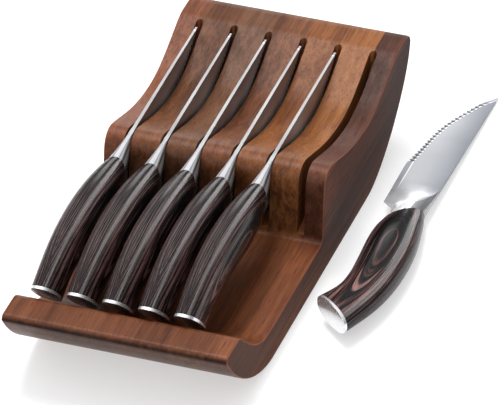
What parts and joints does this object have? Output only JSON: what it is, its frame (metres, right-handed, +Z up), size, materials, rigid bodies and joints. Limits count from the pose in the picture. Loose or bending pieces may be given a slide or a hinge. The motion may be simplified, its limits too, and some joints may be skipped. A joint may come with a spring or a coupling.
{
  "type": "knife block with knives",
  "caption": "Low wooden knife block with a front tray, a waved slotted rear and forged steak knives with curved handles, one lying beside it.",
  "frame": {"origin": "centre of the block's flat underside, on the surface it stands on", "axes": "+Z up, +Y from the tray's lip towards the blade tips, +X across the block towards the loose knife"},
  "size_m": [0.1804, 0.3417, 0.068],
  "materials": {
    "walnut": "satin varnished reddish brown wood",
    "grey_walnut": "satin varnished greyish brown wood",
    "dark_walnut": "satin varnished dark purplish brown wood",
    "light_walnut": "satin varnished orange brown wood",
    "handle_wood": "polished charcoal laminated wood with thin grey and red-brown layers",
    "blade_steel": "satin blade with a polished bolster",
    "cap_steel": "mirror polished"
  },
  "bodies": {
    "block": {"stave_1": "walnut", "stave_2": "walnut", "stave_3": "grey_walnut", "stave_4": "dark_walnut", "stave_5": "light_walnut", "stave_6": "light_walnut", "stave_7": "dark_walnut"},
    "knife_1": {"knife_1_blade": "blade_steel", "knife_1_handle": "handle_wood", "knife_1_cap": "cap_steel"},
    "knife_2": {"knife_2_blade": "blade_steel", "knife_2_handle": "handle_wood", "knife_2_cap": "cap_steel"},
    "knife_3": {"knife_3_blade": "blade_steel", "knife_3_handle": "handle_wood", "knife_3_cap": "cap_steel"},
    "knife_4": {"knife_4_blade": "blade_steel", "knife_4_handle": "handle_wood", "knife_4_cap": "cap_steel"},
    "knife_5": {"knife_5_blade": "blade_steel", "knife_5_handle": "handle_wood", "knife_5_cap": "cap_steel"},
    "knife_6": {"knife_6_blade": "blade_steel", "knife_6_handle": "handle_wood", "knife_6_cap": "cap_steel"}
  },
  "joints": [
    {"name": "lift_1", "type": "slide", "parent": "block", "child": "knife_1", "axis": [0, 0, 1], "range_m": [0, 0.1]},
    {"name": "lift_2", "type": "slide", "parent": "block", "child": "knife_2", "axis": [0, 0, 1], "range_m": [0, 0.1]},
    {"name": "lift_3", "type": "slide", "parent": "block", "child": "knife_3", "axis": [0, 0, 1], "range_m": [0, 0.1]},
    {"name": "lift_4", "type": "slide", "parent": "block", "child": "knife_4", "axis": [0, 0, 1], "range_m": [0, 0.1]},
    {"name": "lift_5", "type": "slide", "parent": "block", "child": "knife_5", "axis": [0, 0, 1], "range_m": [0, 0.1]},
    {"name": "lift_6", "type": "slide", "parent": "block", "child": "knife_6", "axis": [0, 0, 1], "range_m": [0, 0.1]}
  ]
}
